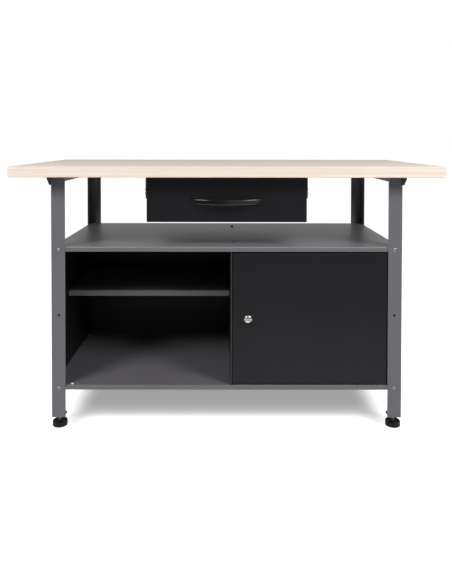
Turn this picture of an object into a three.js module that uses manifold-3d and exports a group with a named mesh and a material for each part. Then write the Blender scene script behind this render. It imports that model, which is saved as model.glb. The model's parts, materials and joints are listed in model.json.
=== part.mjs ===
// Workbench with a worktop on an angle-steel frame, a drawer on roller slides, an open compartment
// and a cabinet behind one lockable door.
// Millimetres, +Z up, front towards -Y, origin on the floor under the middle of the worktop.
import * as THREE from 'three';
import { mergeVertices } from 'three/addons/utils/BufferGeometryUtils.js';
import Module from 'manifold-3d';

// Worktop
const OVERALL_HEIGHT = 745;
const WORKTOP_WIDTH = 1200;
const WORKTOP_DEPTH = 600;
const WORKTOP_THICKNESS = 30;
const WORKTOP_EASED_EDGE = 1.5;

// Gap between pieces that lie against each other, and the play of what slides or turns
const FIT = 0.3;
const RUNNING_PLAY = 1;

// Legs of equal angle, and the rails that carry the worktop on them
const FRAME_WIDTH = 994;
const FRAME_DEPTH = 496;
const LEG_FLANGE = 40;
const LEG_SHEET = 2;
const LEG_INNER_RADIUS = 2;
const LEG_CORNER_CLEARANCE = 2;
const LEG_BOTTOM = 29.5;
const LEG_BOLT_INSET = 22;
const SPARE_HOLE_HEIGHT = 321;
const RAIL_SETBACK = 22;
const RAIL_FLANGE = 40;
const RAIL_DROP = 24;
const RAIL_SHEET = 2;
const RAIL_INNER_RADIUS = 0.4;
const RAIL_END_HEIGHT = 5;
const RAIL_END_TAPER = 23;

// Bolts that hold the shelves to the legs
const BOLT_DIAMETER = 6;
const BOLT_HEAD_DIAMETER = 12;
const BOLT_HEAD_HEIGHT = 3.6;
const BOLT_GRIP = 8;

// Levelling feet
const FOOT_PLATE_WIDTH = 34;
const FOOT_PLATE_THICKNESS = 3;
const FOOT_NUT_ACROSS_FLATS = 13;
const FOOT_NUT_HEIGHT = 6.5;
const STEM_DIAMETER = 8;
const STEM_ABOVE_LEG_BOTTOM = 33;
const STEM_CHAMFER = 0.8;
const PAD_DIAMETER = 42;
const PAD_HEIGHT = 14;
const PAD_CHAMFER = 1;
const PAD_DISH_DIAMETER = 34;
const PAD_DISH_DEPTH = 4;
const PAD_BOSS_DIAMETER = 16;
const PAD_SOCKET_DEPTH = 8;

// Folded sheet: shelves with a lip all round, and the cabinet's walls
const SHEET = 1;
const SHEET_INNER_RADIUS = 0.6;
const SHELF_BAY = 70.6;
const BOTTOM_SHELF_TOP = 121.5;
const SHELF_LIP = 14;
const SHELF_RETURN = 14;
const INNER_SHELF_RISE = 228.7;
const INNER_SHELF_DEPTH = 322;
const INNER_SHELF_LIP = 18;
const PANEL_FLANGE = 15;
const PANEL_INSET = 2;
const PARTITION_LEFT = 11;
const PARTITION_FRONT = 4.6;
const DOOR_STOP = 16;
const PARTITION_FLANGE = 20;
const SHELF_SCREW_HOLE = 5;
const SHELF_SCREW_SPACING = 311;

// Door on two pivot pins
const DOOR_DEPTH = 18;
const DOOR_SIDE_GAP = 1;
const DOOR_LEG_GAP = 2;
const DOOR_END_GAP = 3;
const DOOR_STOP_GAP = 1;
const HINGE_INSET = 15;
const HINGE_SETBACK = 8;
const HINGE_PIN_DIAMETER = 6;
const HINGE_HEAD_DIAMETER = 11;
const HINGE_HEAD_HEIGHT = 2;
const HINGE_PIN_REACH = 9;

// Cam lock and its key
const LOCK_INSET = 44;
const LOCK_HEIGHT = 185.5;
const LOCK_BEZEL_RIM = 1.5;
const LOCK_BEZEL_HEIGHT = 2.6;
const LOCK_BEZEL_CHAMFER = 1.2;
const LOCK_WALL = 1.7;
const LOCK_NUT_RIM = 2.5;
const LOCK_NUT_HEIGHT = 4;
const PLUG_DIAMETER = 12;
const PLUG_SINK = 0.6;
const PLUG_TENON_DIAMETER = 6;
const PLUG_TENON_LENGTH = 4;
const CAM_WIDTH = 14;
const CAM_TIP_GAP = 7;
const CAM_THICKNESS = 2;
const KEY_THICKNESS = 2;
const KEY_BLADE_WIDTH = 7.4;
const KEY_BLADE_LENGTH = 15;
const KEY_NECK = 3;
const KEY_BOW_WIDTH = 23;
const KEY_BOW_LENGTH = 25;
const KEY_BOW_CORNER = 4;
const KEY_SLOT_WIDTH = 9;
const KEY_SLOT_LENGTH = 4;
const KEY_SLOT_SETBACK = 6;

// Drawer
const DRAWER_FRONT_WIDTH = 453;
const DRAWER_FRONT_HEIGHT = 125.4;
const DRAWER_FRONT_DEPTH = 18;
const DRAWER_TOP_GAP = 4;
const TRAY_DEPTH = 400;
const TRAY_RAISE = 6.4;
const TRAY_BELOW_FRONT_TOP = 25;
const TRAY_HEM = 7;
const HANDLE_LENGTH = 192;
const HANDLE_PROJECTION = 30;
const HANDLE_HEIGHT = 16;
const HANDLE_THICKNESS = 5;
const HANDLE_CENTRE_HEIGHT = 58.4;

// Brackets under the worktop and the roller slides between them and the drawer
const BRACKET_SPAN = 464;
const BRACKET_HEIGHT = 64;
const BRACKET_FLANGE = 20;
const BRACKET_BEHIND_FRONT = 4;
const SLIDE_SHEET = 1.2;
const SLIDE_HEAD_PLAY = 2;
const ROLLER_SIDE_PLAY = 1.4;
const RUNNER_DROP = 19;
const ROLLER_DIAMETER = 19;
const ROLLER_WIDTH = 7;
const ROLLER_END_DISTANCE = 14;
const AXLE_DIAMETER = 5;
const AXLE_HEAD_DIAMETER = 8;
const AXLE_HEAD_THICKNESS = 0.8;

// Smoothness of bends, rounds and holes
const BEND_STEPS = 3;
const ROUND_SEGMENTS = 24;
const HOLE_SEGMENTS = 14;
const CURVE_STEPS = 5;
const HANDLE_STEPS = 24;
const HANDLE_CORNER_STEPS = 2;

// Places worked out from the sizes above
const WORKTOP_UNDERSIDE = OVERALL_HEIGHT - WORKTOP_THICKNESS;
const RAIL_TOP = WORKTOP_UNDERSIDE - FIT;
const RAIL_LENGTH = WORKTOP_DEPTH - 2 * RAIL_SETBACK;
const LEG_TOP = RAIL_TOP - RAIL_SHEET - FIT;
const FRAME_FRONT = -FRAME_DEPTH / 2;
const SHEET_X = FRAME_WIDTH / 2 - LEG_SHEET - FIT;
const SHEET_Y = FRAME_DEPTH / 2 - LEG_SHEET - FIT;
const LEG_CORNER_RELIEF = LEG_INNER_RADIUS + LEG_CORNER_CLEARANCE;
const FOOT_INSET = LEG_SHEET + FIT + FOOT_PLATE_WIDTH / 2;
const DRAWER_FRONT_TOP = WORKTOP_UNDERSIDE - DRAWER_TOP_GAP;
const DRAWER_FRONT_BOTTOM = DRAWER_FRONT_TOP - DRAWER_FRONT_HEIGHT;
const MIDDLE_SHELF_TOP = DRAWER_FRONT_BOTTOM - SHELF_BAY;
const INNER_SHELF_TOP = BOTTOM_SHELF_TOP + INNER_SHELF_RISE;
const CABINET_BOTTOM = BOTTOM_SHELF_TOP + FIT;
const MIDDLE_LIP_BOTTOM = MIDDLE_SHELF_TOP - SHELF_LIP;
const CABINET_TOP = MIDDLE_LIP_BOTTOM - FIT;
const PANEL_X = SHEET_X - PANEL_INSET;
const BACK_PANEL_REAR = SHEET_Y - PANEL_INSET;
const BACK_PANEL_FRONT = BACK_PANEL_REAR - SHEET;
const PANEL_INSIDE = PANEL_X - SHEET;
const SHELF_SCREW_X = PARTITION_LEFT + PARTITION_FLANGE / 2;

const DOOR_LEFT = PARTITION_LEFT + PARTITION_FRONT + DOOR_SIDE_GAP;
const DOOR_RIGHT = FRAME_WIDTH / 2 - LEG_FLANGE - DOOR_LEG_GAP;
const DOOR_BOTTOM = BOTTOM_SHELF_TOP + DOOR_END_GAP;
const DOOR_TOP = MIDDLE_LIP_BOTTOM - DOOR_END_GAP;
const DOOR_WIDTH = DOOR_RIGHT - DOOR_LEFT;
const DOOR_HEIGHT = DOOR_TOP - DOOR_BOTTOM;
const HINGE_X = DOOR_RIGHT - HINGE_INSET;
const HINGE_Y = -SHEET_Y + HINGE_SETBACK;
const DOOR_STOP_FRONT = -SHEET_Y + DOOR_DEPTH + DOOR_STOP_GAP;
const LOCK_BARREL_DIAMETER = PLUG_DIAMETER + 2 * (FIT + LOCK_WALL);
const LOCK_BARREL_LENGTH = DOOR_DEPTH + DOOR_STOP_GAP + SHEET + RUNNING_PLAY;
const LOCK_BEZEL_DIAMETER = LOCK_BARREL_DIAMETER + 2 * LOCK_BEZEL_RIM;
const LOCK_NUT_ACROSS_FLATS = LOCK_BARREL_DIAMETER + 2 * LOCK_NUT_RIM;
const PLUG_FRONT = -FIT - LOCK_BEZEL_HEIGHT + PLUG_SINK;
const CAM_REACH = LOCK_INSET + DOOR_SIDE_GAP - CAM_TIP_GAP;

const TRAY_FRONT = FRAME_FRONT + DRAWER_FRONT_DEPTH + FIT;
const TRAY_HEIGHT = DRAWER_FRONT_HEIGHT - TRAY_RAISE - TRAY_BELOW_FRONT_TOP;
const BRACKET_LENGTH = TRAY_DEPTH - BRACKET_BEHIND_FRONT;
const BRACKET_FRONT = FRAME_FRONT + DRAWER_FRONT_DEPTH + BRACKET_BEHIND_FRONT;
const BRACKET_BOTTOM = WORKTOP_UNDERSIDE - FIT - BRACKET_HEIGHT;
const SLIDE_HEIGHT = 3 * SLIDE_SHEET + RUNNING_PLAY + ROLLER_DIAMETER + FIT + SLIDE_HEAD_PLAY;
const SLIDE_WIDTH = SLIDE_SHEET + ROLLER_WIDTH + 2 * ROLLER_SIDE_PLAY;
const SLIDE_WEB = BRACKET_SPAN / 2 - SLIDE_SHEET - FIT;
const SLIDE_TIP = SLIDE_WEB - SLIDE_WIDTH;
const RUNNER_WEB = SLIDE_TIP - RUNNING_PLAY;
const TRAY_WIDTH = 2 * (RUNNER_WEB - SLIDE_SHEET - FIT);
const RAIL_ROLLER_X = SLIDE_TIP + (SLIDE_WIDTH - SLIDE_SHEET) / 2;
const RUNNER_ROLLER_X = RUNNER_WEB + (SLIDE_WIDTH - SLIDE_SHEET) / 2;
const SLIDE_FLOOR = BRACKET_BOTTOM + SLIDE_SHEET;
const RUNNER_ROLLER_Z = SLIDE_FLOOR + FIT + ROLLER_DIAMETER / 2;
const RAIL_ROLLER_Z = SLIDE_FLOOR + RUNNING_PLAY + ROLLER_DIAMETER / 2;
const RUNNER_TOP = RAIL_ROLLER_Z + ROLLER_DIAMETER / 2 + FIT + SLIDE_SHEET;
const RUNNER_LENGTH = TRAY_DEPTH;

// Finishes
const GREY_PAINT = { color: 0x716f72, roughness: 0.45, metalness: 0.1 };
const BLACK_PAINT = { color: 0x262628, roughness: 0.5, metalness: 0.1 };
const WOOD = { color: 0xe6d5c6, roughness: 0.55, metalness: 0 };
const ZINC = { color: 0xb4b6b8, roughness: 0.35, metalness: 1 };
const CHROME = { color: 0xd6d8da, roughness: 0.15, metalness: 1 };
const BLACK_PLASTIC = { color: 0x1c1c1d, roughness: 0.5, metalness: 0 };
const WHITE_PLASTIC = { color: 0xdedcd6, roughness: 0.45, metalness: 0 };

const AXIS_X = new THREE.Vector3(1, 0, 0);
const AXIS_Y = new THREE.Vector3(0, 1, 0);
const AXIS_Z = new THREE.Vector3(0, 0, 1);

const wasm = await Module();
wasm.setup();

// Solid of a closed geometry, ready to be joined or cut.
function solid(geometry) {
  const bare = geometry.clone();
  for (const name of Object.keys(bare.attributes)) {
    if (name !== 'position') bare.deleteAttribute(name);
  }
  const merged = mergeVertices(bare);
  const vertProperties = Float32Array.from(merged.attributes.position.array);
  const triVerts = Uint32Array.from(merged.index.array);
  return new wasm.Manifold(new wasm.Mesh({ numProp: 3, vertProperties, triVerts }));
}

function geometryOf(body) {
  const mesh = body.getMesh();
  const geometry = new THREE.BufferGeometry();
  geometry.setAttribute('position', new THREE.BufferAttribute(mesh.vertProperties, 3));
  geometry.setIndex(new THREE.BufferAttribute(mesh.triVerts, 1));
  return geometry;
}

function join(first, ...others) {
  return geometryOf(others.reduce((body, next) => body.add(solid(next)), solid(first)));
}

function cut(first, ...tools) {
  return geometryOf(tools.reduce((body, tool) => body.subtract(solid(tool)), solid(first)));
}

function shared(first, second) {
  return geometryOf(solid(first).intersect(solid(second)));
}

// Cross-section of a folded sheet: a centre line with a rounded bend at each inner point.
function foldedSheet(points, thickness, innerRadius) {
  const corners = points.map(([x, y]) => new THREE.Vector2(x, y));
  const bend = innerRadius + thickness / 2;
  const left = [];
  const right = [];
  const addStation = (point, direction) => {
    const side = new THREE.Vector2(-direction.y, direction.x).multiplyScalar(thickness / 2);
    left.push(point.clone().add(side));
    right.unshift(point.clone().sub(side));
  };
  corners.forEach((corner, i) => {
    const arriving = i > 0 ? corner.clone().sub(corners[i - 1]).normalize() : null;
    const leaving = i < corners.length - 1 ? corners[i + 1].clone().sub(corner).normalize() : null;
    if (!arriving || !leaving) {
      addStation(corner, arriving ?? leaving);
      return;
    }
    const turn = Math.atan2(arriving.cross(leaving), arriving.dot(leaving));
    const start = corner.clone().addScaledVector(arriving, -bend * Math.tan(Math.abs(turn) / 2));
    const toCentre = new THREE.Vector2(-arriving.y, arriving.x).multiplyScalar(bend * Math.sign(turn));
    const centre = start.clone().add(toCentre);
    for (let step = 0; step <= BEND_STEPS; step += 1) {
      const angle = (turn * step) / BEND_STEPS;
      const direction = arriving.clone().rotateAround(new THREE.Vector2(), angle);
      addStation(start.clone().rotateAround(centre, angle), direction);
    }
  });
  return new THREE.Shape([...left, ...right]);
}

function mirroredPoints(points) {
  return points.map(([x, y]) => [-x, y]);
}

function extruded(shape, length) {
  const settings = { depth: length, bevelEnabled: false, curveSegments: CURVE_STEPS };
  return new THREE.ExtrudeGeometry(shape, settings);
}

// A profile in Y and Z, drawn out along X and centred on X = 0.
function alongX(shape, length) {
  const turn = new THREE.Matrix4().makeBasis(AXIS_Y, AXIS_Z, AXIS_X);
  return extruded(shape, length).translate(0, 0, -length / 2).applyMatrix4(turn);
}

// A profile in X and Z, drawn out along Y and centred on Y = 0.
function alongY(shape, length) {
  const turn = new THREE.Matrix4().makeBasis(AXIS_X, AXIS_Z, AXIS_Y.clone().negate());
  return extruded(shape, length).translate(0, 0, -length / 2).applyMatrix4(turn);
}

// A turned piece from [radius, height] points, its height along the given axis.
function turned(profile, axis, segments = ROUND_SEGMENTS) {
  const points = profile.map(([radius, height]) => new THREE.Vector2(radius, height));
  const turn = new THREE.Quaternion().setFromUnitVectors(AXIS_Y, axis);
  return new THREE.LatheGeometry(points, segments).applyQuaternion(turn);
}

// A straight round cutter, centred on the origin.
function drill(diameter, length, axis) {
  const turn = new THREE.Quaternion().setFromUnitVectors(AXIS_Y, axis);
  const radius = diameter / 2;
  return new THREE.CylinderGeometry(radius, radius, length, HOLE_SEGMENTS).applyQuaternion(turn);
}

function boxBetween(low, high) {
  const size = high.map((value, i) => value - low[i]);
  const middle = high.map((value, i) => (value + low[i]) / 2);
  return new THREE.BoxGeometry(...size).translate(...middle);
}

// A rectangle with round corners, kept just short of meeting at the middle of a side.
function roundedRectangle(width, height, wantedRadius) {
  const radius = Math.min(wantedRadius, (Math.min(width, height) - FIT) / 2);
  const x = width / 2 - radius;
  const y = height / 2 - radius;
  const quarter = Math.PI / 2;
  const shape = new THREE.Shape();
  shape.absarc(x, y, radius, 0, quarter);
  shape.absarc(-x, y, radius, quarter, 2 * quarter);
  shape.absarc(-x, -y, radius, 2 * quarter, 3 * quarter);
  shape.absarc(x, -y, radius, 3 * quarter, 4 * quarter);
  return shape;
}

// A hexagonal nut standing on Z = 0.
function nut(acrossFlats, height, holeDiameter) {
  const radius = acrossFlats / Math.sqrt(3);
  const corners = Array.from({ length: 6 }, (_, i) => {
    const angle = (i * Math.PI) / 3;
    return new THREE.Vector2(radius * Math.cos(angle), radius * Math.sin(angle));
  });
  const blank = extruded(new THREE.Shape(corners), height);
  return cut(blank, drill(holeDiameter, 4 * height, AXIS_Z));
}

// A sheet with its top face on Z = 0 and lips turned down on all sides.
// turnIn is the width of the return at the foot of the front and rear lips, and relief shortens
// the side lips at the corners.
function foldedPan(width, depth, lip, turnIn, relief) {
  const half = SHEET / 2;
  const corner = SHEET + SHEET_INNER_RADIUS;
  const lipY = depth / 2 - half;
  const foot = turnIn > 0 ? [[depth / 2 - turnIn, half - lip], [lipY, half - lip]] : [[lipY, -lip]];
  const rearLine = [...foot, [lipY, -half]];
  const line = [...mirroredPoints(rearLine), ...rearLine.reverse()];
  const face = alongX(foldedSheet(line, SHEET, SHEET_INNER_RADIUS), width - 2 * corner);
  const sideLine = [[width / 2 - half, -lip], [width / 2 - half, -half], [width / 2 - 2 * corner, -half]];
  const sideLength = depth - 2 * relief;
  const right = alongY(foldedSheet(sideLine, SHEET, SHEET_INNER_RADIUS), sideLength);
  const left = alongY(foldedSheet(mirroredPoints(sideLine), SHEET, SHEET_INNER_RADIUS), sideLength);
  return join(face, left, right);
}

function addPiece(parent, name, geometry, finish, position = [0, 0, 0]) {
  const shown = geometry.index ? geometry.toNonIndexed() : geometry;
  shown.computeVertexNormals();
  const mesh = new THREE.Mesh(shown, new THREE.MeshStandardMaterial(finish));
  mesh.name = name;
  mesh.position.set(...position);
  parent.add(mesh);
}

function addGroup(parent, position) {
  const group = new THREE.Group();
  group.position.set(...position);
  parent.add(group);
  return group;
}

const SIDES = [['left', -1], ['right', 1]];
const ENDS = [['front', -1], ['rear', 1]];
const SHELF_BOLT_HEIGHTS = [
  ['upper', MIDDLE_SHELF_TOP - SHELF_LIP / 2],
  ['lower', BOTTOM_SHELF_TOP - SHELF_LIP / 2],
];

function worktop() {
  const edge = WORKTOP_EASED_EDGE;
  const width = WORKTOP_WIDTH / 2;
  const depth = WORKTOP_DEPTH / 2;
  const outline = new THREE.Shape([
    new THREE.Vector2(-width, -depth),
    new THREE.Vector2(width, -depth),
    new THREE.Vector2(width, depth),
    new THREE.Vector2(-width, depth),
  ]);
  return new THREE.ExtrudeGeometry(outline, {
    depth: WORKTOP_THICKNESS - 2 * edge,
    bevelThickness: edge,
    bevelSize: edge,
    bevelOffset: -edge,
    bevelSegments: 2,
  }).translate(0, 0, edge);
}

// Angle leg, its outer corner on the local Z axis and its foot on Z = 0.
function leg(side, end) {
  const half = LEG_SHEET / 2;
  const line = [
    [-side * LEG_FLANGE, -end * half],
    [-side * half, -end * half],
    [-side * half, -end * LEG_FLANGE],
  ];
  const blank = extruded(foldedSheet(line, LEG_SHEET, LEG_INNER_RADIUS), LEG_TOP - LEG_BOTTOM);
  const heights = [...SHELF_BOLT_HEIGHTS.map(([, height]) => height), SPARE_HOLE_HEIGHT];
  const holes = heights.map((height) => (
    drill(BOLT_DIAMETER + 2 * FIT, 4 * LEG_SHEET, AXIS_Y)
      .translate(-side * LEG_BOLT_INSET, -end * half, height - LEG_BOTTOM)
  ));
  return cut(blank, ...holes);
}

// Domed bolt, the seat of its head on the origin and its shank along the given axis.
function legBolt(axis) {
  const head = BOLT_HEAD_DIAMETER / 2;
  const shank = BOLT_DIAMETER / 2;
  const grip = LEG_SHEET + FIT + SHEET + BOLT_GRIP;
  const dome = Array.from({ length: BEND_STEPS + 1 }, (_, i) => {
    const angle = (i * Math.PI) / (2 * BEND_STEPS);
    return [head * Math.sin(angle), -BOLT_HEAD_HEIGHT * Math.cos(angle)];
  });
  const profile = [
    ...dome,
    [shank, 0],
    [shank, grip],
    [0, grip],
  ];
  return turned(profile, axis, HOLE_SEGMENTS);
}

// Plate that closes the foot of a leg, and carries the nut of its levelling foot.
function footPlate() {
  const outline = roundedRectangle(FOOT_PLATE_WIDTH, FOOT_PLATE_WIDTH, LEG_CORNER_RELIEF);
  const blank = extruded(outline, FOOT_PLATE_THICKNESS);
  return cut(blank, drill(STEM_DIAMETER + 2 * FIT, 4 * FOOT_PLATE_THICKNESS, AXIS_Z));
}

function footStem() {
  const radius = STEM_DIAMETER / 2;
  const bottom = PAD_HEIGHT - PAD_SOCKET_DEPTH + FIT;
  const top = LEG_BOTTOM + STEM_ABOVE_LEG_BOTTOM;
  const profile = [
    [0, bottom],
    [radius - STEM_CHAMFER, bottom],
    [radius, bottom + STEM_CHAMFER],
    [radius, top - STEM_CHAMFER],
    [radius - STEM_CHAMFER, top],
    [0, top],
  ];
  return turned(profile, AXIS_Z, HOLE_SEGMENTS);
}

// Round pad with a dished top and a boss that holds the stem.
function footPad() {
  const radius = PAD_DIAMETER / 2;
  const dish = PAD_DISH_DIAMETER / 2;
  const boss = PAD_BOSS_DIAMETER / 2;
  const socket = STEM_DIAMETER / 2 + FIT;
  const profile = [
    [0, 0],
    [radius - PAD_CHAMFER, 0],
    [radius, PAD_CHAMFER],
    [radius, PAD_HEIGHT - PAD_CHAMFER],
    [radius - PAD_CHAMFER, PAD_HEIGHT],
    [dish, PAD_HEIGHT],
    [dish, PAD_HEIGHT - PAD_DISH_DEPTH],
    [boss, PAD_HEIGHT - PAD_DISH_DEPTH],
    [boss, PAD_HEIGHT],
    [socket, PAD_HEIGHT],
    [socket, PAD_HEIGHT - PAD_SOCKET_DEPTH],
    [0, PAD_HEIGHT - PAD_SOCKET_DEPTH],
  ];
  return turned(profile, AXIS_Z);
}

function addCorner(bench, endName, end, sideName, side) {
  const corner = `${endName}_${sideName}`;
  const outer = [side * FRAME_WIDTH / 2, end * FRAME_DEPTH / 2];
  const foot = [side * (FRAME_WIDTH / 2 - FOOT_INSET), end * (FRAME_DEPTH / 2 - FOOT_INSET)];
  const inwards = AXIS_Y.clone().multiplyScalar(-end);
  const plateTop = LEG_BOTTOM + FOOT_PLATE_THICKNESS;
  addPiece(bench, `leg_${corner}`, leg(side, end), GREY_PAINT, [...outer, LEG_BOTTOM]);
  for (const [level, height] of SHELF_BOLT_HEIGHTS) {
    const seat = [side * (FRAME_WIDTH / 2 - LEG_BOLT_INSET), end * (FRAME_DEPTH / 2 + FIT), height];
    addPiece(bench, `leg_bolt_${level}_${corner}`, legBolt(inwards), ZINC, seat);
  }
  addPiece(bench, `foot_plate_${corner}`, footPlate(), BLACK_PLASTIC, [...foot, LEG_BOTTOM]);
  const footNut = nut(FOOT_NUT_ACROSS_FLATS, FOOT_NUT_HEIGHT, STEM_DIAMETER + 2 * FIT);
  addPiece(bench, `foot_nut_${corner}`, footNut, ZINC, [...foot, plateTop + FIT]);
  addPiece(bench, `foot_stem_${corner}`, footStem(), ZINC, [...foot, 0]);
  addPiece(bench, `foot_pad_${corner}`, footPad(), BLACK_PLASTIC, [...foot, 0]);
}

// Angle rail under the worktop: a flange on the leg tops and one down the outside of the legs.
function topRail(side) {
  const half = RAIL_SHEET / 2;
  const outside = FRAME_WIDTH / 2 + FIT + RAIL_SHEET;
  const line = [
    [side * (outside - RAIL_FLANGE), -half],
    [side * (outside - half), -half],
    [side * (outside - half), -RAIL_DROP],
  ];
  const blank = alongY(foldedSheet(line, RAIL_SHEET, RAIL_INNER_RADIUS), RAIL_LENGTH);
  const tip = RAIL_LENGTH / 2;
  const beyond = RAIL_DROP;
  const corner = [
    [tip, -RAIL_END_HEIGHT],
    [tip + beyond, -RAIL_END_HEIGHT],
    [tip + beyond, -RAIL_DROP - beyond],
    [tip - RAIL_END_TAPER, -RAIL_DROP - beyond],
    [tip - RAIL_END_TAPER, -RAIL_DROP],
  ];
  const cutters = [corner, mirroredPoints(corner)].map((outline) => {
    const shape = new THREE.Shape(outline.map(([y, z]) => new THREE.Vector2(y, z)));
    return alongX(shape, RAIL_FLANGE).translate(side * outside, 0, 0);
  });
  return cut(blank, ...cutters);
}

// Holes through the front and rear lips of a shelf for the bolts in the legs.
function lipHoles() {
  const x = FRAME_WIDTH / 2 - LEG_BOLT_INSET;
  const places = [[-x, -SHEET_Y], [x, -SHEET_Y], [-x, SHEET_Y], [x, SHEET_Y]];
  return places.map(([px, py]) => (
    drill(BOLT_DIAMETER + 2 * FIT, 4 * SHEET, AXIS_Y).translate(px, py, -SHELF_LIP / 2)
  ));
}

function shelf() {
  const pan = foldedPan(2 * SHEET_X, 2 * SHEET_Y, SHELF_LIP, SHELF_RETURN, LEG_CORNER_RELIEF);
  return cut(pan, ...lipHoles());
}

function pinHole() {
  return drill(HINGE_PIN_DIAMETER + 2 * FIT, 4 * SHEET, AXIS_Z);
}

function screwHoles() {
  return [-SHELF_SCREW_SPACING / 2, SHELF_SCREW_SPACING / 2].map((y) => (
    drill(SHELF_SCREW_HOLE, 4 * SHEET, AXIS_Z).translate(SHELF_SCREW_X, y, 0)
  ));
}

function middleShelf() {
  return cut(shelf(), pinHole().translate(HINGE_X, HINGE_Y, -SHELF_LIP), ...screwHoles());
}

// The lower shelf has a pivot hole at each end, so that a door can hang on either side.
function bottomShelf() {
  return cut(shelf(), pinHole().translate(HINGE_X, HINGE_Y, 0), pinHole().translate(-HINGE_X, HINGE_Y, 0));
}

// Shelf over the rear part of the open compartment, between the left wall and the partition.
function addInnerShelf(bench) {
  const left = FIT - PANEL_INSIDE;
  const right = PARTITION_LEFT - FIT;
  const rear = BACK_PANEL_FRONT - FIT;
  const pan = foldedPan(right - left, INNER_SHELF_DEPTH, INNER_SHELF_LIP, SHELF_RETURN, LEG_CORNER_RELIEF);
  const place = [(left + right) / 2, rear - INNER_SHELF_DEPTH / 2, INNER_SHELF_TOP];
  addPiece(bench, 'inner_shelf', pan, GREY_PAINT, place);
}

// Outer wall of the cabinet, set in from the rounded edge of the shelf, with a flange behind the front leg.
function sidePanel(side) {
  const half = SHEET / 2;
  const wall = side * (PANEL_X - half);
  const line = [
    [wall - side * PANEL_FLANGE, half - SHEET_Y],
    [wall, half - SHEET_Y],
    [wall, BACK_PANEL_FRONT - FIT],
  ];
  return extruded(foldedSheet(line, SHEET, LEG_INNER_RADIUS), CABINET_TOP - CABINET_BOTTOM);
}

// Rear wall, a flat sheet across the rear ends of the outer walls.
function backPanel() {
  const high = [PANEL_X, BACK_PANEL_REAR, CABINET_TOP - CABINET_BOTTOM];
  return boxBetween([-PANEL_X, BACK_PANEL_FRONT, 0], high);
}

// Wall between the open compartment and the cabinet. Its front edge is folded twice into a stop for
// the door, and flanges at its head and foot take the screws of the shelves.
function addPartition(bench) {
  const half = SHEET / 2;
  const height = MIDDLE_SHELF_TOP - SHEET - FIT - CABINET_BOTTOM;
  const wall = PARTITION_LEFT + half;
  const fold = PARTITION_LEFT + PARTITION_FRONT - half;
  const rear = BACK_PANEL_FRONT - FIT - half;
  const stop = DOOR_STOP_FRONT + half;
  const line = [
    [wall + PANEL_FLANGE, rear],
    [wall, rear],
    [wall, half - SHEET_Y],
    [fold, half - SHEET_Y],
    [fold, stop],
    [fold + DOOR_STOP, stop],
  ];
  const blank = extruded(foldedSheet(line, SHEET, SHEET_INNER_RADIUS), height);
  const returnEnd = SHEET_Y - SHELF_RETURN - RUNNING_PLAY;
  const flangeEnd = returnEnd - PANEL_FLANGE;
  const flange = [PARTITION_LEFT + PARTITION_FLANGE, flangeEnd];
  const foot = boxBetween([wall, -flangeEnd, 0], [...flange, SHEET]);
  const head = boxBetween([wall, -flangeEnd, height - SHEET], [...flange, height]);
  const notches = ENDS.map(([, end]) => {
    const ys = [end * returnEnd, end * (SHEET_Y + SHELF_RETURN)].sort((a, b) => a - b);
    const low = [PARTITION_LEFT - SHEET, ys[0], CABINET_TOP - CABINET_BOTTOM];
    return boxBetween(low, [fold + DOOR_STOP + SHEET, ys[1], height + SHEET]);
  });
  const holes = screwHoles().map((hole) => hole.translate(0, 0, height));
  const wallPlate = cut(join(blank, foot, head), ...notches, ...holes);
  addPiece(bench, 'partition', wallPlate, BLACK_PAINT, [0, 0, CABINET_BOTTOM]);
}

// Pivot pin on the lower shelf, with a collar that carries the door.
function lowerHingePin() {
  const radius = HINGE_PIN_DIAMETER / 2;
  const collar = HINGE_HEAD_DIAMETER / 2;
  const below = -SHELF_LIP / 2;
  const above = DOOR_END_GAP + SHEET + HINGE_PIN_REACH;
  const profile = [
    [0, below],
    [radius, below],
    [radius, FIT],
    [collar, FIT],
    [collar, DOOR_END_GAP - FIT],
    [radius, DOOR_END_GAP - FIT],
    [radius, above],
    [0, above],
  ];
  return turned(profile, AXIS_Z, HOLE_SEGMENTS);
}

// Pivot pin dropped through the lip of the middle shelf into the head of the door.
function upperHingePin() {
  const radius = HINGE_PIN_DIAMETER / 2;
  const head = HINGE_HEAD_DIAMETER / 2;
  const seat = SHEET + FIT;
  const below = -(DOOR_END_GAP + SHEET + HINGE_PIN_REACH);
  const profile = [
    [0, below],
    [radius, below],
    [radius, seat],
    [head, seat],
    [head, seat + HINGE_HEAD_HEIGHT],
    [0, seat + HINGE_HEAD_HEIGHT],
  ];
  return turned(profile, AXIS_Z, HOLE_SEGMENTS);
}

function doorPanel(lockX, lockZ) {
  const corner = SHEET + SHEET_INNER_RADIUS;
  const pan = foldedPan(DOOR_WIDTH, DOOR_HEIGHT, DOOR_DEPTH, 0, corner).rotateX(Math.PI / 2);
  const pinX = DOOR_WIDTH / 2 - HINGE_INSET;
  const pins = [-DOOR_HEIGHT / 2, DOOR_HEIGHT / 2].map((z) => pinHole().translate(pinX, HINGE_SETBACK, z));
  const lock = drill(LOCK_BARREL_DIAMETER + 2 * FIT, 4 * SHEET, AXIS_Y).translate(lockX, 0, lockZ);
  return cut(pan, lock, ...pins);
}

// Barrel of the lock, its bezel seated on the door's face at Y = 0.
function lockHousing() {
  const bore = PLUG_DIAMETER / 2 + FIT;
  const bezel = LOCK_BEZEL_DIAMETER / 2;
  const barrel = LOCK_BARREL_DIAMETER / 2;
  const front = -FIT - LOCK_BEZEL_HEIGHT;
  const profile = [
    [bore, front],
    [bezel - LOCK_BEZEL_CHAMFER, front],
    [bezel, front + LOCK_BEZEL_CHAMFER],
    [bezel, -FIT],
    [barrel, -FIT],
    [barrel, LOCK_BARREL_LENGTH],
    [bore, LOCK_BARREL_LENGTH],
    [bore, front],
  ];
  return turned(profile, AXIS_Y);
}

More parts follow.
